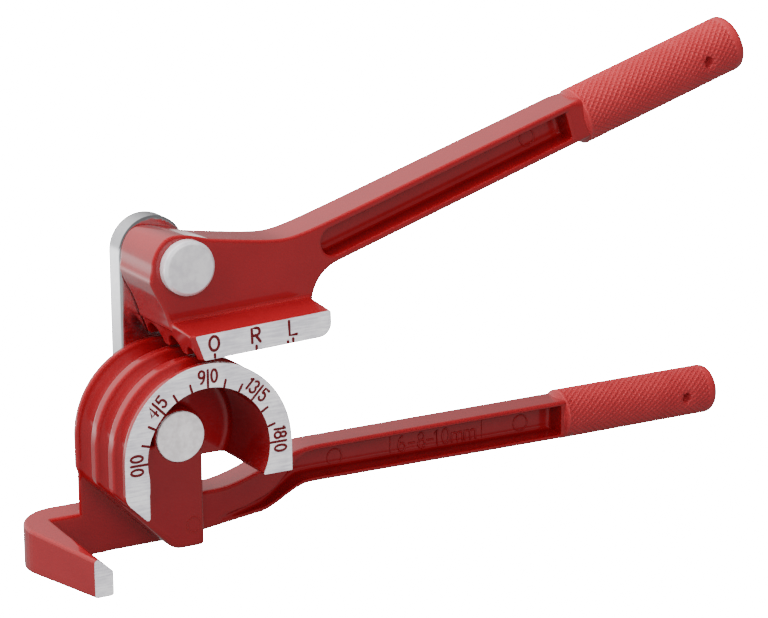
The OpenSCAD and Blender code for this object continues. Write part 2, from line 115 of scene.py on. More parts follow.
def net(distance, xs, ys, zs):
    """A net of quads over the zero level of a distance: one point in each grid
    cell that the level crosses, at the mean of its crossings of the cell's
    edges, then moved twice down the slope on to the level itself."""
    longest_step = 0.2
    field = distance(xs[:, None, None], ys[None, :, None], zs[None, None, :])
    inside = field < 0
    corners = np.array([(i, j, k) for i in (0, 1) for j in (0, 1) for k in (0, 1)])
    count = sum(inside[i:i + len(xs) - 1, j:j + len(ys) - 1, k:k + len(zs) - 1].astype(np.int8)
                for i, j, k in corners)
    cells = np.argwhere((count > 0) & (count < 8))
    at = cells[:, None, :] + corners
    value = field[at[..., 0], at[..., 1], at[..., 2]]
    place = np.stack([xs[at[..., 0]], ys[at[..., 1]], zs[at[..., 2]]], -1)
    total, hits = np.zeros((len(cells), 3)), np.zeros((len(cells), 1))
    for p, q in ((0, 4), (1, 5), (2, 6), (3, 7), (0, 2), (1, 3), (4, 6), (5, 7),
                 (0, 1), (2, 3), (4, 5), (6, 7)):
        cross = ((value[:, p] < 0) != (value[:, q] < 0))[:, None]
        span = np.where(value[:, p] == value[:, q], 1, value[:, p] - value[:, q])
        share = value[:, p] / span
        total += cross * (place[:, p] + share[:, None] * (place[:, q] - place[:, p]))
        hits += cross
    points = total / hits
    number = np.full(count.shape, -1, np.int64)
    number[tuple(cells.T)] = np.arange(len(cells))
    quads = []
    for axis in range(3):
        lower = np.moveaxis(inside, axis, 0)
        change = lower[:-1] != lower[1:]
        ids = np.moveaxis(number, axis, 0)
        i, j, k = (np.argwhere(change[:, 1:-1, 1:-1]) + (0, 1, 1)).T
        ring = np.stack([ids[i, j - 1, k - 1], ids[i, j, k - 1], ids[i, j, k],
                         ids[i, j - 1, k]], 1)
        turn = lower[i, j, k] != (axis == 1)
        quads.append(np.where(turn[:, None], ring, ring[:, ::-1]))
    for _ in range(2):
        slope, level = steepest(distance, points)
        step = level[:, None] * slope
        size = 1e-9 + np.linalg.norm(step, axis=1)
        points = points - step * np.minimum(1, longest_step / size)[:, None]
    return points, np.concatenate(quads)


def steepest(distance, points):
    """The unit slope of a distance at points, from differences over a tenth of
    a millimetre, and the distance there divided by that slope's length."""
    x, y, z = points.T
    h = 0.05
    slope = np.stack([distance(x + h, y, z) - distance(x - h, y, z),
                      distance(x, y + h, z) - distance(x, y - h, z),
                      distance(x, y, z + h) - distance(x, y, z - h)], 1) / (2 * h)
    length = np.maximum(np.linalg.norm(slope, axis=1), 1e-6)
    return slope / length[:, None], distance(x, y, z) / length


def stretched(low, knee, cell, coarse, count, high):
    """Grid places that are a cell apart up to the knee, then up to high in
    steps that grow evenly towards the coarse one."""
    far = knee + np.cumsum(np.linspace(cell, coarse, count))
    places = np.concatenate([np.arange(low, knee, cell), far])
    return places[places < high]


def mill(mesh, face_y):
    """Cuts the mesh off flat at a depth along Y and fills the cut with faces
    of the second material."""
    bm = bmesh.new()
    bm.from_mesh(mesh)
    cut = bmesh.ops.bisect_plane(
        bm, geom=bm.verts[:] + bm.edges[:] + bm.faces[:], dist=1e-5,
        plane_co=(0, face_y, 0), plane_no=(0, -1, 0), clear_outer=True)
    rim = [g for g in cut["geom_cut"] if isinstance(g, bmesh.types.BMEdge)]
    cap = bmesh.ops.triangle_fill(bm, edges=rim, use_beauty=True, normal=(0, -1, 0))
    for face in cap["geom"]:
        if isinstance(face, bmesh.types.BMFace):
            face.material_index = 1
            face.normal_update()
            if face.normal.y > 0:
                face.normal_flip()
    bm.to_mesh(mesh)
    bm.free()


def read(items, key, kind=np.int64, width=1):
    """One attribute of all the items of a mesh, as a flat array."""
    values = np.empty(len(items) * width, kind)
    items.foreach_get(key, values)
    return values


def placed(name, mesh):
    """An object of the mesh, linked into the scene."""
    piece = bpy.data.objects.new(name, mesh)
    bpy.context.scene.collection.objects.link(piece)
    return piece


def casting(name, distance, xs, ys, zs, skin, milled=None):
    """A casting's mesh from its distance, in millimetres, cut off flat at the
    dial's face if that is milled. Each corner takes the distance's slope as
    its normal, and on the milled face the way towards the front."""
    points, quads = net(distance, xs, ys, zs)
    mesh = bpy.data.meshes.new(name)
    mesh.from_pydata(points, [], quads)
    mesh.materials.append(skin)
    if milled:
        mesh.materials.append(milled)
        mill(mesh, FACE_Y)
    places = read(mesh.vertices, "co", float, 3).reshape(-1, 3)
    normal = steepest(distance, places)[0][read(mesh.loops, "vertex_index")]
    kind = np.repeat(read(mesh.polygons, "material_index"), read(mesh.polygons, "loop_total"))
    normal = np.where(kind[:, None] == 1, (0, -1, 0), normal)
    mesh.polygons.foreach_set("use_smooth", np.ones(len(mesh.polygons), bool))
    mesh.transform(Matrix.Scale(MM, 4))
    mesh.normals_split_custom_set(normal)
    return placed(name, mesh)


def arc(x, z, rx, rz, start, end, steps=14):
    """Points of an ellipse's arc between two angles in degrees."""
    a = np.radians(np.linspace(start, end, steps))
    return np.stack([x + rx * np.cos(a), z + rz * np.sin(a)], 1)


def bar_top(x):
    """Top edge of the lower handle: level by the former, then eased up."""
    start, run = TOP_RISE
    return BAR_NEAR + (BAR_HIGH - BAR_NEAR) * ease((x - start) / run)


def bar_bottom(x):
    """Bottom edge of the lower handle: a low heel, an eased rise, and a slight
    fall towards the grip."""
    start, run = LOW_RISE
    high_x = start + run
    heel = HEEL * np.clip((x - HEEL_RUN[0]) / HEEL_RUN[1], 0, 1)
    return np.where(x > high_x, BAR_LOW - BAR_FALL * (x - high_x) / (BAR_END - high_x),
                    heel + (BAR_LOW - HEEL) * ease((x - start) / run))


def paired(x, z):
    """Two arrays as a list of points."""
    return list(zip(x, z))


rise_x = np.linspace(TOP_RISE[0], sum(TOP_RISE), 20)
toe_x = np.linspace(sum(LOW_RISE), LOW_RISE[0], 16)
BAR_OUTLINE = np.array([
    (-FORMER_R, 0), (-FORMER_R, PLATE_TOP), (POST_RIGHT, PLATE_TOP), (14.5, BAR_NEAR),
    *paired(rise_x, bar_top(rise_x)), (BAR_END, BAR_HIGH), (BAR_END, BAR_LOW - BAR_FALL),
    *paired(toe_x, bar_bottom(toe_x)), (HEEL_RUN[0], 0)])
tail = np.array([0, 0.03, 0.26, 0.46, 0.565, 0.68, 0.79, 0.88, 1])
tail_open = np.array([0.10, 0.17, 0.21, 0.32, 0.38, 0.58, 0.84, 0.97, 1])
tail_x = TAIL_X + tail * TAIL_LENGTH
tail_low = bar_bottom(tail_x) + TAIL_RIM - 0.1 * tail
tail_high = tail_low + (bar_top(tail_x) - RECESS_RIM - tail_low) * tail_open
RECESS_OUTLINE = np.array([
    *paired(tail_x, tail_low), (RECESS_END, bar_bottom(RECESS_END) + RECESS_RIM),
    (RECESS_END, BAR_HIGH - RECESS_RIM), *paired(tail_x, tail_high)[::-1]])
FOOT_X = FOOT_R * (2 ** 0.5 - 1) - FOOT_Z
UNDER_OUTLINE = np.array([
    (-60, 60), *arc(FOOT_X, FOOT_Z + FOOT_R, FOOT_R, FOOT_R, 225, 270, 10),
    (30, FOOT_Z), (30, -20), (-60, -20)])
POST_OUTLINE = ((POST_LEFT, SHOULDER_Z), (POST_LEFT, POST_LOW), (POST_RIGHT, POST_LOW),
                (POST_RIGHT, AXIS_Z), (SHOULDER_X, AXIS_Z), (-HUB_R, SHOULDER_Z))
HOOK_X = (HOOK_LEFT - (HOOK_BACK - HOOK_R - FACE_Y) * np.tan(HOOK_LEAN)
          + HOOK_R / np.cos(HOOK_LEAN))
HOOK_PLAN = np.array([
    (HOOK_END, PLATE_Y), (-37, PLATE_Y), (-37, -20.6), (-32.8, FACE_Y),
    (-32.4, FACE_Y - STOCK), (-38.4, FACE_Y - STOCK), (HOOK_LEFT, FACE_Y),
    *arc(HOOK_X, HOOK_BACK - HOOK_R, HOOK_R, HOOK_R, 194, 90), (HOOK_END, HOOK_BACK)])


def former_head(x, y, z):
    """Former, cup and hub post: a half round with straight sides, less a round
    cup open below, less three grooves whose section is a circle, joined to the
    hub post and cut off by the slanted underside."""
    drop = z - AXIS_Z
    around = np.hypot(x, np.maximum(drop, 0)) - FORMER_R
    leg = np.maximum(np.maximum(-x - FORMER_R, x - LEG_X), LEG_Z - z)
    front = np.minimum(np.maximum(around, SHORT_LEG_Z - z), np.maximum(leg, around))
    body = slab(front, y, FACE_Y - STOCK, PLATE_Y + LAP, EDGE_R)
    below = np.maximum(np.maximum(LEG_X - x, x - SHORT_LEG_X), drop)
    cup = smooth_max(np.minimum(np.hypot(x, drop) - CUP_R, below), y - CUP_Y, CUP_FILLET)
    body = smooth_max(body, -cup, EDGE_R)
    for groove_y, groove_r in GROOVES:
        body = smooth_max(body, groove_r - np.hypot(around, y - groove_y), GROOVE_RIM)
    post = np.minimum(np.hypot(x, drop) - HUB_R, outline(x, z, POST_OUTLINE))
    body = smooth_min(body, slab(post, y, POST_Y, PLATE_Y + LAP, POST_EDGE), POST_FILLET)
    body = smooth_max(body, -outline(x, z, UNDER_OUTLINE), UNDER_RIM)
    return smooth_max(body, BORE_R - np.hypot(x, drop), BORE_RIM)


def lower_casting(x, y, z):
    """Former head, back plate with handle bar, and hook, joined with small
    fillets, less the bar's recess with its ramped tail. The bar's corners are
    turned down to the grip's round, and the hook's top falls to its tip."""
    bar = slab(outline(x, z, BAR_OUTLINE), y, PLATE_Y, -PLATE_Y, BAR_EDGE)
    chamfer = (CHAMFER_Y * (y - PLATE_Y) - CHAMFER_X * (x + FORMER_R)) / CHAMFER_LENGTH
    bar = smooth_max(bar, chamfer, CHAMFER_EDGE)
    corner = (BAR_CORNER_R + 2 * np.maximum(BAR_CORNER_X - x, 0)
              - 0.25 * np.maximum(x - BAR_CORNER_X, 0))
    bar = smooth_max(bar, np.hypot(y, z - LOWER_GRIP_Z) - corner, CORNER_EDGE)
    top = z - HOOK_TOP - (y - FACE_Y) * HOOK_RISE / HOOK_REACH
    hook = smooth_max(outline(x, y, HOOK_PLAN), top, HOOK_EDGE)
    bevel = (x - BEVEL_X) * np.sin(BEVEL_TURN) + top * np.cos(BEVEL_TURN)
    hook = smooth_max(hook, np.minimum(bevel, PLATE_Y - BEVEL_STOP - y), BEVEL_EDGE)
    hook = smooth_max(hook, -z, SOLE_EDGE)
    body = smooth_min(np.minimum(bar, hook), former_head(x, y, z), CASTING_FILLET)
    depth = RECESS_DEPTH * np.clip((x - TAIL_X) / TAIL_RAMP, 0, 1)
    hollow = smooth_max(outline(x, z, RECESS_OUTLINE) + TAIL_INSET + DRAFT * (y - PLATE_Y),
                        y - PLATE_Y - depth, RECESS_FILLET)
    return smooth_max(body, -hollow, RECESS_EDGE)


def finish_group(name, *inputs):
    """A shader node group with a Vector and the given inputs, each a name, a
    kind and a value or None, and a colour, a roughness and a normal to put out."""
    g = bpy.data.node_groups.new(name, "ShaderNodeTree")
    for label, kind, value in (("Vector", "Vector", None), *inputs):
        socket = g.interface.new_socket(label, in_out="INPUT", socket_type="NodeSocket" + kind)
        if value is not None:
            socket.default_value = value
    for label, kind in (("Color", "Color"), ("Roughness", "Float"), ("Normal", "Vector")):
        g.interface.new_socket(label, in_out="OUTPUT", socket_type="NodeSocket" + kind)
    return g, g.nodes.new("NodeGroupInput").outputs, g.nodes.new("NodeGroupOutput").inputs


def noise(nodes, scale, detail):
    """A Noise Texture node of a scale and a detail."""
    texture = nodes.new("ShaderNodeTexNoise")
    texture.inputs["Scale"].default_value = scale
    texture.inputs["Detail"].default_value = detail
    return texture


def map_range(nodes, low=0.0, high=1.0, to_low=0.0, to_high=1.0):
    """A Map Range node from one pair of ends to another."""
    node = nodes.new("ShaderNodeMapRange")
    for end, value in (("From Min", low), ("From Max", high),
                       ("To Min", to_low), ("To Max", to_high)):
        node.inputs[end].default_value = value
    return node


def toned(nodes, link, share, first, second):
    """The mix of two colours by a share."""
    mix = nodes.new("ShaderNodeMix")
    mix.data_type = "RGBA"
    link(share, mix.inputs["Factor"])
    link(first, mix.inputs["A"])
    link(second, mix.inputs["B"])
    return mix.outputs["Result"]


def marks_group():
    """Milling marks: a broad noise and a fine one stretched along the cut. Their
    sum mixes two tones, and the fine one sets the roughness and the bump."""
    g, inp, out = finish_group(
        "milling_marks", ("Tone", "Color", None), ("Worn Tone", "Color", None),
        ("Depth", "Float", None), ("Smooth", "Float", 0.28), ("Coarse", "Float", 0.62),
        ("Cut", "Vector", (0.16, 0.5, 1.6)))
    n, link = g.nodes, g.links.new
    fine, broad = noise(n, 900, 3), noise(n, 130, 4)
    squash = n.new("ShaderNodeVectorMath")
    squash.operation = "MULTIPLY"
    link(inp["Vector"], squash.inputs[0])
    link(inp["Cut"], squash.inputs[1])
    link(squash.outputs[0], fine.inputs["Vector"])
    link(inp["Vector"], broad.inputs["Vector"])
    both, spread = n.new("ShaderNodeMath"), map_range(n, 0.8, 1.2)
    link(broad.outputs["Fac"], both.inputs[0])
    link(fine.outputs["Fac"], both.inputs[1])
    link(both.outputs["Value"], spread.inputs["Value"])
    link(toned(n, link, spread.outputs["Result"], inp["Tone"], inp["Worn Tone"]), out["Color"])
    rough = map_range(n)
    link(inp["Smooth"], rough.inputs["To Min"])
    link(inp["Coarse"], rough.inputs["To Max"])
    link(fine.outputs["Fac"], rough.inputs["Value"])
    link(rough.outputs["Result"], out["Roughness"])
    bump = n.new("ShaderNodeBump")
    bump.inputs["Distance"].default_value = 0.00012
    link(inp["Depth"], bump.inputs["Strength"])
    link(fine.outputs["Fac"], bump.inputs["Height"])
    link(bump.outputs["Normal"], out["Normal"])
    return g


def enamel_group():
    """Sprayed enamel: a slow noise for the tone, the roughness and the casting's
    faint waves, and a fine one on top for a skin like orange peel."""
    g, inp, out = finish_group("sprayed_enamel", ("Tone", "Color", None),
                               ("Thin Tone", "Color", None), ("Skin", "Float", None))
    n, link = g.nodes, g.links.new
    peel, wave = noise(n, 700, 2), noise(n, 90, 5)
    link(inp["Vector"], peel.inputs["Vector"])
    link(inp["Vector"], wave.inputs["Vector"])
    link(toned(n, link, wave.outputs["Fac"], inp["Tone"], inp["Thin Tone"]), out["Color"])
    rough = map_range(n, to_low=0.24, to_high=0.38)
    link(wave.outputs["Fac"], rough.inputs["Value"])
    link(rough.outputs["Result"], out["Roughness"])
    low, top = n.new("ShaderNodeBump"), n.new("ShaderNodeBump")
    low.inputs["Distance"].default_value = 0.0005
    low.inputs["Strength"].default_value = 0.25
    link(wave.outputs["Fac"], low.inputs["Height"])
    top.inputs["Distance"].default_value = 0.0001
    link(inp["Skin"], top.inputs["Strength"])
    link(peel.outputs["Fac"], top.inputs["Height"])
    link(low.outputs["Normal"], top.inputs["Normal"])
    link(top.outputs["Normal"], out["Normal"])
    return g


ENAMEL, MARKS = enamel_group(), marks_group()


def finish_of(name, group, metallic, coat=0.0, coat_rough=0.05, **values):
    """A material whose colour, roughness and normal come from a finish group."""
    m = bpy.data.materials.new(name)
    m.use_nodes = True
    n, link = m.node_tree.nodes, m.node_tree.links.new
    shader = n["Principled BSDF"]
    place, effect = n.new("ShaderNodeTexCoord"), n.new("ShaderNodeGroup")
    effect.node_tree = group
    link(place.outputs["Object"], effect.inputs["Vector"])
    for key, value in values.items():
        effect.inputs[key.replace("_", " ")].default_value = value
    link(effect.outputs["Color"], shader.inputs["Base Color"])
    link(effect.outputs["Roughness"], shader.inputs["Roughness"])
    link(effect.outputs["Normal"], shader.inputs["Normal"])
    shader.inputs["Metallic"].default_value = metallic
    shader.inputs["Specular IOR Level"].default_value = 0.2 if coat else 0.5
    shader.inputs["Coat Weight"].default_value = coat
    shader.inputs["Coat Roughness"].default_value = coat_rough
    return m


red_enamel = finish_of("red_enamel", ENAMEL, 0.0, coat=1.0, coat_rough=0.06,
                       Tone=(0.165, 0.0035, 0.006, 1), Thin_Tone=(0.21, 0.006, 0.009, 1),
                       Skin=0.12)
milled_face = finish_of("milled_face", MARKS, 0.3, Tone=(0.99, 0.97, 0.99, 1),
                        Worn_Tone=(0.68, 0.66, 0.72, 1), Depth=0.8)

cell = 0.58
lower = casting("lower_casting", lower_casting, stretched(-48.1, 36, cell, 1.25, 150, 163),
                np.arange(-45.4, 10, cell), np.arange(-1.5, 69, cell), red_enamel, milled_face)
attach(lower, "former")
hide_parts("former_ring", "former_back", "hub_post", "base_hook", "lower_handle")


# The degree marks on the dial: single-stroke numerals and graduation lines,
# stamped into the milled face and filled with dark red paint.
STROKE, PROUD = 0.85, 0.05
TICK_FOOT, SHORT_TICK, LONG_TICK = 20.75, 22.9, 26.0
FIGURE_FOOT, FIGURE_HEIGHT, FIGURE_ASIDE, FIGURE_FAR = 22.1, 3.9, 2.1, 4.1


def line(*points):
    """Straight strokes through the given points."""
    return np.array(points, float)


GLYPHS = {
    "0": [arc(0, 0.5, 0.24, 0.5, 90, 450, 25)],
    "1": [line((-0.12, 0.8), (0.03, 1), (0.03, 0))],
    "3": [np.concatenate([arc(0, 0.76, 0.22, 0.24, 150, -80),
                          arc(0, 0.27, 0.25, 0.27, 80, -150)])],
    "4": [line((0.13, 0), (0.13, 1), (-0.28, 0.3), (0.27, 0.3))],
    "5": [np.concatenate([line((0.22, 1), (-0.17, 1), (-0.2, 0.56)),
                          arc(0, 0.32, 0.24, 0.32, 125, -150)])],
    "6": [arc(0, 0.28, 0.24, 0.28, 90, 450, 21), arc(0.1, 0.3, 0.34, 0.7, 100, 180)],
    "8": [arc(0, 0.76, 0.2, 0.24, -90, 270, 21), arc(0, 0.27, 0.25, 0.27, 90, 450, 21)],
    "9": [arc(0, 0.72, 0.24, 0.28, -90, 270, 21), arc(-0.1, 0.7, 0.34, 0.7, -80, 0)],
    "O": [arc(0, 0.5, 0.36, 0.5, 90, 450, 25)],
    "R": [np.concatenate([line((-0.3, 0), (-0.3, 1), (0.05, 1)),
                          arc(0.05, 0.74, 0.25, 0.26, 90, -90), line((-0.3, 0.48))]),
          line((0.0, 0.48), (0.32, 0))],
    "L": [line((-0.25, 1), (-0.25, 0), (0.3, 0))],
}


def stroke_grid(path, width, proud):
    """One stroke as a half-round bead: a section carried along the path, which
    narrows to nothing over half its width at both ends."""
    step = np.diff(path, axis=0)
    way = np.concatenate([step[:1], step[:-1] + step[1:], step[-1:]])
    way = way / np.linalg.norm(way, axis=1)[:, None]
    if np.allclose(path[0], path[-1]):
        way[0] = way[-1] = (way[0] + way[-1]) / np.linalg.norm(way[0] + way[-1])
        size, mid = np.ones(len(path)), path
    else:
        swell = np.radians((0, 20, 45, 70))
        ends, grown = width / 2 * np.cos(swell), np.maximum(np.sin(swell), 0.05)
        mid = np.concatenate([path[0] - way[0] * ends[:, None], path,
                              (path[-1] + way[-1] * ends[:, None])[::-1]])
        way = np.concatenate([way[:1].repeat(4, 0), way, way[-1:].repeat(4, 0)])
        size = np.concatenate([grown, np.ones(len(path)), grown[::-1]])
    across = np.stack([-way[:, 1], way[:, 0]], 1)
    v = np.array([-1, -0.75, 0, 0.75, 1, 0])
    lift = np.array([0, 0.8, 1, 0.8, 0, -0.6])
    flat = mid[:, None] + across[:, None] * (v * width / 2)[None, :, None] * size[:, None, None]
    return np.stack([flat[..., 0], np.broadcast_to(-lift * proud, flat.shape[:2]),
                     flat[..., 1]], -1)


def sealed(name, points, quads, material):
    """An object from points in millimetres and quads, with doubles merged, open
    ends filled, faces turned outwards and shaded smooth."""
    mesh = bpy.data.meshes.new(name)
    mesh.from_pydata(points * MM, [], quads)
    bm = bmesh.new()
    bm.from_mesh(mesh)
    bmesh.ops.remove_doubles(bm, verts=bm.verts, dist=2e-6)
    bmesh.ops.holes_fill(bm, edges=[e for e in bm.edges if e.is_boundary])
    bmesh.ops.recalc_face_normals(bm, faces=bm.faces)
    bm.to_mesh(mesh)
    bm.free()
    mesh.polygons.foreach_set("use_smooth", np.ones(len(mesh.polygons), bool))
    mesh.materials.append(material)
    return placed(name, mesh)


def tube_quads(rows, columns):
    """The quads of a grid of points whose columns close into a ring."""
    i, j = np.meshgrid(np.arange(rows - 1), np.arange(columns), indexing="ij")
    i, j = i.ravel(), j.ravel()
    k, l = i + 1, (j + 1) % columns
    return np.stack([i * columns + j, k * columns + j, k * columns + l, i * columns + l], 1)


def stroke_piece(name, strokes, width, proud, material, place):
    """All the strokes as one mesh: the grids stacked, each closed round its
    section and along its path where that returns to its start."""
    points, quads, count = [], [], 0
    for path in strokes:
        grid = stroke_grid(path, width, proud)
        quads.append(count + tube_quads(*grid.shape[:2]))
        points.append(grid.reshape(-1, 3))
        count += len(points[-1])
    return sealed(name, place(np.concatenate(points)), np.concatenate(quads), material)


def glyph(sign, x, z, height, turn=0.0):
    """A sign's strokes at a height, centred on a foot point and turned."""
    c, s = np.cos(np.radians(turn)), np.sin(np.radians(turn))
    turned_by = np.array(((c, s), (-s, c)))
    return [np.array((x, z)) + height * path @ turned_by for path in GLYPHS[sign]]


def on_dial(sign, reading, aside):
    """A figure set square to the dial's radius at a reading, a distance aside."""
    a = np.radians(180 - reading)
    x = FIGURE_FOOT * np.cos(a) + aside * np.sin(a)
    z = AXIS_Z + FIGURE_FOOT * np.sin(a) - aside * np.cos(a)
    return glyph(sign, x, z, FIGURE_HEIGHT, 90 - reading)


def tick(reading, inner, outer):
    """A graduation line along the dial's radius."""
    a = np.radians(180 - reading)
    return np.array([(r * np.cos(a), AXIS_Z + r * np.sin(a)) for r in (inner, outer)])


fill_paint = finish_of("mark_paint", ENAMEL, 0.0, coat=0.1, Tone=(0.075, 0.004, 0.006, 1),
                       Thin_Tone=(0.11, 0.008, 0.010, 1), Skin=0.2)
strokes = [tick(r, TICK_FOOT, SHORT_TICK) for r in (15, 30, 60, 75, 105, 120, 150, 165)]
strokes += [tick(r, TICK_FOOT, LONG_TICK) for r in (0, 45, 90, 135, 180)]
for reading, left, after in ((0, "0", "0"), (45, "4", "5"), (90, "9", "0"),
                             (135, "13", "5"), (180, "18", "0")):
    strokes += on_dial(left[-1], reading, -FIGURE_ASIDE) + on_dial(after, reading, FIGURE_ASIDE)
    if len(left) > 1:
        strokes += on_dial(left[0], reading, -FIGURE_FAR)
dial_marks = stroke_piece("dial_marks", strokes, STROKE, PROUD, fill_paint,
                          lambda p: p + (0, FACE_Y, 0))
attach(dial_marks, "former")


# The cast marks of the lower casting: raised size numbers in a frame on the
# floor of the handle's recess, and the rings left by the mould's ejector pins.
SIGN_FOOT, SIGN_HEIGHT, SIGN_STROKE, SIGN_PROUD = 12.9, 5.2, 0.75, 0.3
FRAME_LEFT, FRAME_RIGHT, FRAME_LOW, FRAME_TOP = 87.2, 122.4, 11.6, 19.2
MOULD_R, MOULD_STROKE, MOULD_PROUD = 2.7, 0.6, 0.22
GLYPHS["-"] = [line((-0.2, 0.45), (0.2, 0.45))]
GLYPHS["m"] = [line((-0.4, 0), (-0.4, 0.62))] + [
    np.concatenate([arc(x, 0.42, 0.2, 0.2, 165, 0), line((x + 0.2, 0))]) for x in (-0.2, 0.2)]


def ring_path(x, z, r):
    """A full circle as a path that returns to its start."""
    return arc(x, z, r, r, 90, 450, 33)


def on_floor(p):
    """Marks laid on the floor of the lower handle's recess."""
    return p + (0, PLATE_Y + RECESS_DEPTH, 0)


strokes = [line((FRAME_LEFT, FRAME_LOW), (FRAME_LEFT, FRAME_TOP), (FRAME_RIGHT, FRAME_TOP),
                (FRAME_RIGHT, FRAME_LOW), (FRAME_LEFT, FRAME_LOW))]
for sign, x in (("6", 91.6), ("-", 95.4), ("8", 99.1), ("-", 102.4), ("1", 105.0),
                ("0", 108.4), ("m", 112.9), ("m", 117.9)):
    strokes += glyph(sign, x, SIGN_FOOT, SIGN_HEIGHT)
size_marks = stroke_piece("size_marks", strokes, SIGN_STROKE, SIGN_PROUD, red_enamel, on_floor)
mould_rings = [ring_path(66.3, 15.2, MOULD_R), ring_path(137.6, 15.4, MOULD_R)]
mould_marks = stroke_piece("mould_marks", mould_rings, MOULD_STROKE, MOULD_PROUD, red_enamel,
                           on_floor)
post_mark = stroke_piece("post_mark", [ring_path(4.2, 9.6, 2.4)], 0.5, 0.06, red_enamel,
                         lambda p: p + (0, POST_Y, 0))
for piece in (size_marks, mould_marks, post_mark):
    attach(piece, "former")


# The lower grip: the round end of the same casting, with a rolled diamond
# knurl under the enamel and a cross-drilled hanging hole.
GRIP_END_R, GRIP_ROWS, END_DISC_R = 2.4, 310, 0.02
KNURL_DEPTH, KNURL_CREST, KNURL_LEAD = 0.38, 1.7, 2.4
KNURL_IN, KNURL_OUT, KNURL_GAP = 1.0, 1.2, 0.8
SHOULDER_DROP, SHOULDER_RUN = 2.4, 1.6
HANG_R, HANG_COLUMNS, HANG_SINK, HANG_SINK_RUN = 1.8, 8, 0.35, 0.7


def zigzag(t):
    """A triangle wave of period 1: 0 at whole numbers and 1 half way."""
    return 1 - np.abs(2 * (t - np.floor(t)) - 1)


def knurled_grip(start, end, radius, hole_from_end, turns):
    """A round grip along X: radius over angle and length, with crossed ridges
    where either of two triangle waves, wound both ways, is least, a rounded
    shoulder and a rounded end. Near the hanging hole the grid's squares are
    eased into circles, and the rim is carried in to the middle, where both
    sides meet."""
    along = start + np.linspace(0, 1, GRIP_ROWS) * (end - GRIP_END_R - start)
    turn = np.linspace(0, 2 * np.pi, 8 * turns + 1)[:-1]
    x, a = np.meshgrid(along, turn, indexing="ij")
    wound, drawn = turns * a / (2 * np.pi), x / KNURL_LEAD
    ridges = np.minimum(zigzag(wound + drawn), zigzag(wound - drawn))
    fade = (ease((x - start - SHOULDER_RUN) / KNURL_IN)
            * ease((end - GRIP_END_R - KNURL_GAP - x) / KNURL_OUT))
    r = (radius - KNURL_DEPTH * fade * ease(ridges * KNURL_CREST)
         - SHOULDER_DROP * (1 - ease((x - start) / SHOULDER_RUN)))
    round_end = np.linspace(0, np.pi / 2, 7)[1:]
    cap_x = end - GRIP_END_R + GRIP_END_R * np.sin(round_end)
    cap_r = radius - GRIP_END_R + GRIP_END_R * np.cos(round_end)
    cap_x = np.concatenate([cap_x, np.full(5, end)])
    cap_r = np.concatenate([cap_r, np.linspace(cap_r[-1], END_DISC_R, 6)[1:]])
    x = np.concatenate([x, np.repeat(cap_x[:, None], len(turn), 1)])
    r = np.concatenate([r, np.repeat(cap_r[:, None], len(turn), 1)])
    a = np.concatenate([a, np.repeat(turn[None], len(cap_x), 0)])
    i, j = np.meshgrid(np.arange(len(x)), np.arange(len(turn)), indexing="ij")
    pitch, hole_x, columns = along[1] - along[0], end - hole_from_end, HANG_COLUMNS
    rows = int(round(HANG_R / pitch))
    i = i - int(round((hole_x - start) / pitch))
    ys, zs = r * np.cos(a), r * np.sin(a)
    for middle, side in ((0, 1), (4 * turns, -1)):
        k = (j - middle + 4 * turns) % (8 * turns) - 4 * turns
        reach = np.maximum(np.abs(i) / rows, np.abs(k) / columns)
        round_off = HANG_R * reach / np.maximum(np.hypot(i / rows, k / columns), 1e-6)
        part = np.clip(2 - reach, 0, 1)
        sunk = (1 - ease((reach - 1) / HANG_SINK_RUN)) * (reach < 1 + HANG_SINK_RUN)
        r = r - HANG_SINK * sunk
        z = r * np.sin(a) * (1 - part) + part * side * round_off * k / columns
        x = x * (1 - part) + part * (hole_x + round_off * i / rows)
        y = np.where(part > 0, side * np.sqrt(np.maximum(r ** 2 - z ** 2, 0)), r * np.cos(a))
        wall = (np.abs(i) < rows) & (np.abs(k) < columns)
        inner = np.maximum(np.abs(i) / (rows - 1), np.abs(k) / (columns - 1))
        on_wall = HANG_R * inner / np.maximum(np.hypot(i / (rows - 1), k / (columns - 1)), 1e-6)
        x = np.where(wall, hole_x + on_wall * i / (rows - 1), x)
        z = np.where(wall, side * on_wall * k / (columns - 1), z)
        y = np.where(wall, np.where(inner < 0.999, np.nan, 0), y)
        half = np.abs(k) < 2 * turns
        ys, zs = np.where(half, y, ys), np.where(half, z, zs)
    return np.stack([x, ys, zs], -1)


def grid_mesh(name, points, material):
    """A piece over a grid of points whose columns close into a ring. Faces that
    touch a point set to nan are left out."""
    quads = tube_quads(*points.shape[:2])
    points = points.reshape(-1, 3)
    quads = quads[~np.isnan(points[quads]).any((1, 2))]
    used, quads = np.unique(quads, return_inverse=True)
    return sealed(name, points[used], quads.reshape(-1, 4), material)


grip_enamel = finish_of("grip_enamel", ENAMEL, 0.0, coat=0.5, coat_rough=0.22,
                        Tone=(0.25, 0.014, 0.018, 1), Thin_Tone=(0.32, 0.024, 0.028, 1),
                        Skin=0.1)
points = knurled_grip(150.2, 213.0, LOWER_GRIP_R, 13, 28) + (0, 0, LOWER_GRIP_Z)
lower_grip = grid_mesh("lower_grip", points, grip_enamel)
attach(lower_grip, "former")


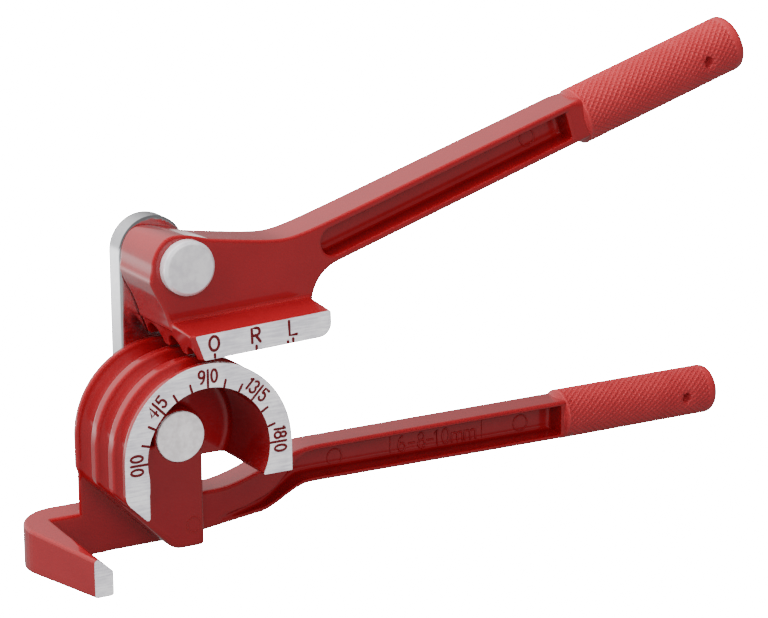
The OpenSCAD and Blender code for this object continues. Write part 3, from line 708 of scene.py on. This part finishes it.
# The upper casting: shoe, web, pin boss and handle bar, die-cast in one piece
# and enamelled, with the shoe's front edge milled bare. It turns on the upper
# pin. Its own axes u and w, and s and n along its bar, are turned with it.
PIN_Z, TURN, SWEEP = 94.0, np.radians(2.4), np.radians(15)
WEB_Y, WEB_BACK, SHOE_BACK, BOSS_R = -28.8, -13.8, -6.6, 11.0
BAR_RISE_W, BOSS_TOP, BOSS_FALL, SAG = -7.66, 8.7, 0.205, 1.4
WEB_LEFT, WEB_RIGHT, WEB_FOOT, WEB_FILLET = -3.3, 42.4, 3, (55.4, -19.94, 13)
HANDLE_END, HANDLE_TOP, HANDLE_LOW, HANDLE_MIDDLE = 149.5, -7.4, -20.6, 120
HANDLE_CORNER_R, HANDLE_CORNER_S, HANDLE_EDGE = 10.7, 142, 0.8
GRIP_Y, GRIP_N, UPPER_GRIP_R = -21.3, -14.9, 9.45

# Shoe, the boss's slanted cut, the flank beside it, and the bar's recess.
SHOE_LEFT, SHOE_END, SHOE_R, LAND_W, LEDGE_W = -5.87, 41.4, 4.2, -25.9, -18.0
LEDGE_RISE, LEDGE_FRONT, LEDGE_REAR, LEDGE_EDGE = 1.3, 13.4, 7.2, 0.5
LEFT_U, LEFT_W, LEFT_CUT, LEFT_EDGE, HALF_SQUARE = -0.951, -0.309, 1.3, 0.4, 0.707
CUT_TOP, CUT_FALL, CUT_LEAN, CUT_EDGE = 10, 0.28, 0.07, 3.0
FLANK_FILLET, WEB_EDGE, FLANK_EDGE, FLANK_LAP, FLANK_BACK = 5.0, 0.9, 0.7, 5, 0.3
SHOE_EDGE, SHOE_FILLET, SHOE_RIM = 0.4, 1.0, 0.7
PIT_N, PIT_HALF, PIT_FLAT, PIT_R, PIT_START, PIT_END = -13.95, 4.45, 0.25, 4.2, 44.6, 139.2


def web_top(u):
    """Top edge of the web: two straight falls joined by a hyperbola's sag."""
    up, down = u * np.tan(SWEEP) + BAR_RISE_W, BOSS_TOP - BOSS_FALL * u
    return (up + down) / 2 + np.sqrt(((up - down) / 2) ** 2 + SAG ** 2)


def swept(s, n):
    """A place along and across the upper handle, in the shoe's own axes."""
    return s * np.cos(SWEEP) - n * np.sin(SWEEP), s * np.sin(SWEEP) + n * np.cos(SWEEP)


crest_u = np.linspace(0, 60, 40)
fillet_u, fillet_w, fillet_r = WEB_FILLET
WEB_OUTLINE = np.array([
    (WEB_LEFT, LEDGE_W - WEB_FOOT), (WEB_LEFT, 0), *paired(crest_u, web_top(crest_u)),
    swept(HANDLE_END, HANDLE_TOP), swept(HANDLE_END, HANDLE_LOW),
    *arc(fillet_u, fillet_w, fillet_r, fillet_r, 105, 180, 12), (WEB_RIGHT, LEDGE_W - WEB_FOOT)])
SHOE_OUTLINE = np.array([
    (SHOE_LEFT, LEDGE_W + 2), (SHOE_LEFT, LEDGE_W), (WEB_LEFT, LAND_W),
    *arc(SHOE_END - SHOE_R, LAND_W + SHOE_R, SHOE_R, SHOE_R, -90, 0, 8),
    (SHOE_END, LEDGE_W + 2)])
FLANK_OUTLINE = np.array([(-10.46, -3.4), (SHOE_LEFT, LEDGE_W - 1), (1.13, LEDGE_W - 1),
                          (-3.46, -3.4)])


def upper_casting(x, y, z):
    """Shoe, web, boss, flank and handle bar in axes turned with the shoe,
    joined with fillets, less grooves, bore and the bar's recess."""
    u = x * np.cos(TURN) + (z - PIN_Z) * np.sin(TURN)
    w = (z - PIN_Z) * np.cos(TURN) - x * np.sin(TURN)
    s, n = u * np.cos(SWEEP) + w * np.sin(SWEEP), w * np.cos(SWEEP) - u * np.sin(SWEEP)
    web, flank = outline(u, w, WEB_OUTLINE), outline(u, w, FLANK_OUTLINE)
    cut = w - CUT_TOP + CUT_FALL * u + CUT_LEAN * (y - WEB_Y)
    side = smooth_min(smooth_max(np.hypot(u, w) - BOSS_R, cut, CUT_EDGE), flank, FLANK_FILLET)
    body = slab(smooth_min(web, side, SHOE_FILLET), y, WEB_Y, WEB_BACK, WEB_EDGE)
    behind = slab(side, y, WEB_BACK - FLANK_LAP, SHOE_BACK + FLANK_BACK, FLANK_EDGE)
    body = np.minimum(body, behind)
    slope = np.minimum((y - FACE_Y) / LEDGE_FRONT, (SHOE_BACK - y) / LEDGE_REAR)
    ledge = LEDGE_W + LEDGE_RISE * np.minimum(slope, 1)
    shoe = slab(outline(u, w, SHOE_OUTLINE), y, FACE_Y - STOCK, SHOE_BACK, SHOE_EDGE)
    shoe = smooth_max(shoe, w - ledge, LEDGE_EDGE)
    left = LEFT_U * (u - SHOE_LEFT) + LEFT_W * (w - LEDGE_W)
    shoe = smooth_max(shoe, (left + FACE_Y - y + LEFT_CUT) * HALF_SQUARE, LEFT_EDGE)
    body = smooth_min(body, shoe, SHOE_FILLET)
    for groove_y, groove_r in GROOVES:
        body = smooth_max(body, groove_r - np.hypot(w - LAND_W, y - groove_y), SHOE_RIM)
    corner = (HANDLE_CORNER_R + 2 * np.maximum(HANDLE_CORNER_S - s, 0)
              - 0.3 * np.maximum(s - HANDLE_CORNER_S, 0))
    rounded = np.where(s > HANDLE_MIDDLE, np.hypot(y - GRIP_Y, n - GRIP_N) - corner, -10)
    body = smooth_max(body, rounded, HANDLE_EDGE)
    across, round_end = np.abs(n - PIT_N), PIT_START + PIT_R
    pit = np.maximum(across - PIT_HALF, np.maximum(PIT_START - s, s - PIT_END))
    round_pit = np.hypot(np.maximum(round_end - s, 0), np.maximum(across - PIT_FLAT, 0)) - PIT_R
    pit = np.where(s < round_end, round_pit, pit)
    hollow = smooth_max(pit + DRAFT * (y - WEB_Y), y - WEB_Y - RECESS_DEPTH, RECESS_FILLET)
    body = smooth_max(body, -hollow, RECESS_EDGE)
    return smooth_max(body, BORE_R - np.hypot(u, w), BORE_RIM)


upper = casting("upper_casting", upper_casting, stretched(-14, 50, cell, 1.1, 123, 152),
                np.arange(-45.4, -4, cell), np.arange(65.5, 139, cell), red_enamel, milled_face)
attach(upper, "shoe")
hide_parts("shoe_handle")


# The shoe's setting marks: three letters with a short tick below each,
# stamped and filled like the dial's, and a mould's ring in the bar's recess.
LETTER_FOOT, LETTER_HEIGHT, LETTER_STROKE, TICK_LOW = -23.3, 4.4, 0.95, -25.4
strokes = []
for sign, u in (("O", 1.5), ("R", 15.5), ("L", 28.0)):
    strokes += glyph(sign, u, LETTER_FOOT, LETTER_HEIGHT) + [line((u, TICK_LOW), (u, -24.5))]
strokes += [line((26.2, TICK_LOW), (26.2, -25.1))]


def on_shoe(p):
    """From the shoe's own axes to the row's, at the shoe's front face."""
    return np.stack([p[:, 0] * np.cos(TURN) - p[:, 2] * np.sin(TURN), p[:, 1] + FACE_Y,
                     PIN_Z + p[:, 0] * np.sin(TURN) + p[:, 2] * np.cos(TURN)], 1)


shoe_marks = stroke_piece("shoe_marks", strokes, LETTER_STROKE, PROUD, fill_paint, on_shoe)
upper_mark = stroke_piece(
    "upper_mark", [np.array(swept(127, -14)) + ring_path(0, 0, MOULD_R)], MOULD_STROKE,
    MOULD_PROUD, red_enamel, lambda p: on_shoe(p + (0, WEB_Y + RECESS_DEPTH - FACE_Y, 0)))
for piece in (shoe_marks, upper_mark):
    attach(piece, "shoe")


# The upper grip: the round end of the upper casting, knurled and drilled as
# the lower one is, and a little thicker.
points = knurled_grip(144.6, 209.5, UPPER_GRIP_R, 14.8, 31)
s, y, n = points[..., 0], points[..., 1] + GRIP_Y, points[..., 2] + GRIP_N
tilt = TURN + SWEEP
points = np.stack([s * np.cos(tilt) - n * np.sin(tilt), y,
                   PIN_Z + s * np.sin(tilt) + n * np.cos(tilt)], -1)
upper_grip = grid_mesh("upper_grip", points, grip_enamel)
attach(upper_grip, "shoe")


# The link: a flat steel bar with round ends, bored for both pins and bright
# zinc plated. It runs behind both castings and turns on the two pins.
LINK_R, LINK_FRONT, LINK_BACK, LINK_EDGE, LINK_RIM, LINK_CELL = 11.2, -5.8, 2.2, 0.9, 0.4, 0.6
bright_plate = finish_of("bright_plate", MARKS, 1.0, Tone=(0.95, 0.95, 0.97, 1),
                         Worn_Tone=(0.86, 0.86, 0.90, 1), Depth=0.12,
                         Smooth=0.06, Coarse=0.30, Cut=(0.5, 0.5, 0.5))


def link_bar(x, y, z):
    """A flat bar with round ends: distance to the line between its centres
    less its half width, thickened, less the two bores."""
    flat = np.hypot(x, z - np.clip(z, AXIS_Z, PIN_Z)) - LINK_R
    body = slab(flat, y, LINK_FRONT, LINK_BACK, LINK_EDGE)
    for bore_z in (AXIS_Z, PIN_Z):
        body = smooth_max(body, BORE_R - np.hypot(x, z - bore_z), LINK_RIM)
    return body


link_piece = casting("link", link_bar, np.arange(-12.5, 13, LINK_CELL),
                     np.arange(-7, 3.5, LINK_CELL), np.arange(26, 107, LINK_CELL), bright_plate)
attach(link_piece, "link")
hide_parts("link_plate")


# The pins and washers: turned steel. The lower pin has a thin flat head in
# the former's hollow, the upper one a thick bevelled head. Each runs through
# casting and link to a washer and a ring. Profiles pair a radius with a depth.
LOWER_PIN = [(0, -22.7), (7.6, -22.7), (7.85, -22.62), (8, -22.4), (8, -21.5), (5, -21.5)]
UPPER_PIN = [(0, -32.6), (7.3, -32.6), (7.6, -32.5), (8.3, -31.8), (8.5, -31.4), (8.5, -28.8),
             (5, -28.8)]
PIN_TAIL = [(5, 3.25), (4.3, 3.25), (4.3, 4.35), (5, 4.35), (5, 4.9), (4.4, 5.5), (0, 5.5)]
WASHER = [(5.05, 2.4), (5.2, 2.25), (8.3, 2.25), (8.5, 2.45), (8.5, 3.1), (8.35, 3.25),
          (5.2, 3.25), (5.05, 3.1), (5.05, 2.4)]
TURNED_SIDES, CORNER_STEP = 96, 0.07
dull_plate = finish_of("dull_plate", MARKS, 0.1, Tone=(0.99, 0.96, 0.97, 1),
                       Worn_Tone=(0.78, 0.74, 0.75, 1), Depth=0.6, Cut=(0.7, 0.7, 0.7))
head_plate = finish_of("head_plate", MARKS, 0.55, Tone=(0.97, 0.95, 0.98, 1),
                       Worn_Tone=(0.80, 0.77, 0.82, 1), Depth=0.06,
                       Smooth=0.08, Coarse=0.28, Cut=(0.6, 0.6, 0.6))


def turned(name, profile, height, material):
    """A turned piece: a profile of radius and depth carried round its axis,
    with each corner given two close points that keep the faces flat."""
    p = np.asarray(profile, float)
    step = np.roll(p, -1, 0) - p
    size = np.maximum(np.linalg.norm(step, axis=1), 1e-6)[:, None]
    near = np.minimum(CORNER_STEP, size / 3)
    p = np.stack([p, p + step / size * near, p + step - step / size * near], 1)
    p = np.concatenate([p[:-1].reshape(-1, 2), p[-1, :1]])
    a = np.linspace(0, 2 * np.pi, TURNED_SIDES + 1)[:-1]
    points = np.stack([p[:, :1] * np.cos(a), np.broadcast_to(p[:, 1:], (len(p), TURNED_SIDES)),
                       height + p[:, :1] * np.sin(a)], -1)
    return grid_mesh(name, points, material)


lower_pin = turned("lower_pin_turned", LOWER_PIN + PIN_TAIL, AXIS_Z, dull_plate)
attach(lower_pin, "former")
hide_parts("lower_pin")
upper_pin = turned("upper_pin_turned", UPPER_PIN + PIN_TAIL, PIN_Z, head_plate)
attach(upper_pin, "shoe")
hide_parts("upper_pin")
for name, height, body in (("lower_washer", AXIS_Z, "former"), ("upper_washer", PIN_Z, "shoe")):
    washer = turned(name + "_turned", WASHER, height, dull_plate)
    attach(washer, body)
    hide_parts(name)


# The retaining rings: stamped spring steel, blackened, snapped into the slot
# near each pin's tail. They are the CAD's own meshes with a finish put on.
spring = finish_of("spring_steel", MARKS, 0.9, Tone=(0.20, 0.20, 0.21, 1),
                   Worn_Tone=(0.12, 0.12, 0.13, 1), Depth=0.2)
for node in ("lower_ring", "upper_ring"):
    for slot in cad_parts[node].material_slots:
        slot.link = "OBJECT"
        slot.material = spring


# The room: a pale floor, soft light from above, from the left and from the
# front, and a camera at the photograph's angle. Floor and world are white to
# the camera, and to reflections they are grey and brighten far behind.
CAMERA_WHITE, FLOOR_HALF = 40.0, 30
LENS_MM, SENSOR_MM = 140.625, 36.0
YAW, PITCH, ROLL = 0.5171168, 0.2597173, -0.008256
CAMERA_FAR, CAMERA_RIGHT, CAMERA_UP = 901.743, 52.400, 43.432


def measure_along(tree, coordinate, direction):
    """How far a place or a view reaches along a direction: their dot product."""
    where, along = tree.nodes.new("ShaderNodeTexCoord"), tree.nodes.new("ShaderNodeVectorMath")
    along.operation = "DOT_PRODUCT"
    along.inputs[1].default_value = direction
    tree.links.new(where.outputs[coordinate], along.inputs[0])
    return along.outputs["Value"]


def mapped(tree, value, *ends):
    """A value carried from one pair of ends to another."""
    node = map_range(tree.nodes, *ends)
    tree.links.new(value, node.inputs["Value"])
    return node.outputs["Result"]


def white_to_camera(tree, strength, target):
    """Feeds a strength to a socket, but plain white to the camera's own rays."""
    seen, shown = tree.nodes.new("ShaderNodeLightPath"), tree.nodes.new("ShaderNodeMix")
    shown.inputs["B"].default_value = CAMERA_WHITE
    tree.links.new(seen.outputs["Is Camera Ray"], shown.inputs["Factor"])
    tree.links.new(strength, shown.inputs["A"])
    tree.links.new(shown.outputs["Result"], target)


floor_mesh = bpy.data.meshes.new("floor")
floor_mesh.from_pydata([(-FLOOR_HALF, -FLOOR_HALF, 0), (FLOOR_HALF, -FLOOR_HALF, 0),
                        (FLOOR_HALF, FLOOR_HALF, 0), (-FLOOR_HALF, FLOOR_HALF, 0)],
                       [], [(0, 1, 2, 3)])
floor = placed("floor", floor_mesh)
floor_paint = bpy.data.materials.new("floor_paint")
floor_paint.use_nodes = True
tree = floor_paint.node_tree
paint = tree.nodes["Principled BSDF"].inputs
paint["Base Color"].default_value = (0.05, 0.05, 0.05, 1)
paint["Roughness"].default_value = 0.9
paint["Emission Color"].default_value = (1, 1, 1, 1)
behind = measure_along(tree, "Object", (-0.5, 0.87, 0))
dimmed = tree.nodes.new("ShaderNodeMath")
dimmed.operation = "MULTIPLY"
tree.links.new(mapped(tree, behind, 0.14, 0.36, 0.22, 2.1), dimmed.inputs[0])
tree.links.new(mapped(tree, behind, 0.42, 1.5, 1.0, 0.45), dimmed.inputs[1])
white_to_camera(tree, dimmed.outputs["Value"], paint["Emission Strength"])
floor_mesh.materials.append(floor_paint)

world = bpy.data.worlds.new("studio")
world.use_nodes = True
tree = world.node_tree
sky = tree.nodes["Background"].inputs
sky["Color"].default_value = (1, 1, 1, 1)
facing = measure_along(tree, "Generated", (-0.45, 0.80, 0.40))
white_to_camera(tree, mapped(tree, facing, 0.47, 1.0, 0.17, 1.15), sky["Strength"])
bpy.context.scene.world = world


def soft_box(name, place, aim, side, watts):
    """A square area light at a place, turned towards an aim. It stays out of
    reflections, which show only the room's own soft gradients."""
    lamp = bpy.data.lights.new(name, "AREA")
    lamp.shape, lamp.size, lamp.size_y, lamp.energy = "RECTANGLE", side, side, watts
    obj = placed(name, lamp)
    obj.location, obj.visible_glossy = place, False
    obj.rotation_euler = (Vector(aim) - Vector(place)).to_track_quat("-Z", "Y").to_euler()


soft_box("top", (-0.15, 0.05, 1.00), (0.06, -0.02, 0.08), 1.1, 31)
soft_box("left", (-1.15, -0.08, 0.50), (0.02, -0.02, 0.06), 0.9, 20)
soft_box("front", (-0.22, -1.15, 0.45), (0.06, -0.02, 0.07), 0.9, 17)

ahead = np.array([np.sin(YAW) * np.cos(PITCH), np.cos(YAW) * np.cos(PITCH), -np.sin(PITCH)])
level = np.array([np.cos(YAW), -np.sin(YAW), 0])
upright = np.cross(level, ahead)
right = level * np.cos(ROLL) + upright * np.sin(ROLL)
top = upright * np.cos(ROLL) - level * np.sin(ROLL)
spot = (-ahead * CAMERA_FAR + right * CAMERA_RIGHT + top * CAMERA_UP + (0, FACE_Y, AXIS_Z)) * MM
lens = bpy.data.cameras.new("camera")
lens.sensor_width, lens.lens = SENSOR_MM, LENS_MM
camera = placed("camera", lens)
turned_rows = np.stack([right, top, -ahead], 1)
camera.matrix_world = Matrix([[*row, p] for row, p in zip(turned_rows, spot)] + [[0, 0, 0, 1]])
bpy.context.scene.camera = camera
